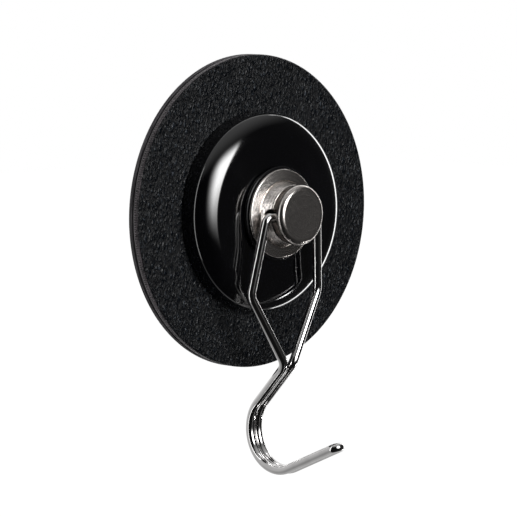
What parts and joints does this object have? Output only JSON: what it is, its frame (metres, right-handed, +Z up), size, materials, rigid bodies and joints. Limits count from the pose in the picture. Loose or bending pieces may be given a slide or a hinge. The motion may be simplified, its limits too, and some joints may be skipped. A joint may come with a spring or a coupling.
{
  "type": "magnetic hook",
  "caption": "Magnetic hook: leather-faced disc over a pot magnet, domed cover, turning metal post and a swinging bent-wire hook.",
  "frame": {"origin": "middle of the disc's back face, which sits flat on the steel surface", "axes": "+Z up the wall with the wire hook hanging toward -Z, +Y into the wall, so that the post points to -Y, +X to the right as seen from the front"},
  "size_m": [0.08, 0.0347, 0.1067],
  "materials": {
    "pad_rubber": "matt",
    "core_board": "matt",
    "facing_leather": "pebbled grain, low sheen",
    "plated_steel": "zinc plated",
    "magnet": "sintered, matt",
    "gloss_cover": "gloss",
    "bush_brass": "turned",
    "washer_nylon": "semi-gloss",
    "post_nickel": "satin nickel",
    "wire_chrome": "polished"
  },
  "bodies": {
    "base": {"rear_pad": "pad_rubber", "core_sheet": "core_board", "leather_facing": "facing_leather", "magnet_cup": "plated_steel", "ring_magnet": "magnet", "dome_cover": "gloss_cover", "bearing_bush": "bush_brass", "thrust_washer": "plated_steel", "swivel_washer": "washer_nylon"},
    "swivel": {"swivel_post": "post_nickel", "retaining_clip": "plated_steel"},
    "bail": {"hook_bail": "wire_chrome"}
  },
  "joints": [
    {"name": "post_swivel", "type": "hinge", "parent": "base", "child": "swivel", "pos_m": [0, 0, 0], "axis": [0, -1, 0], "continuous": true},
    {"name": "hook_swing", "type": "hinge", "parent": "swivel", "child": "bail", "pos_m": [0, -0.01685, -0.0003], "axis": [-1, 0, 0], "range_deg": [-1.8, 178.8]}
  ]
}
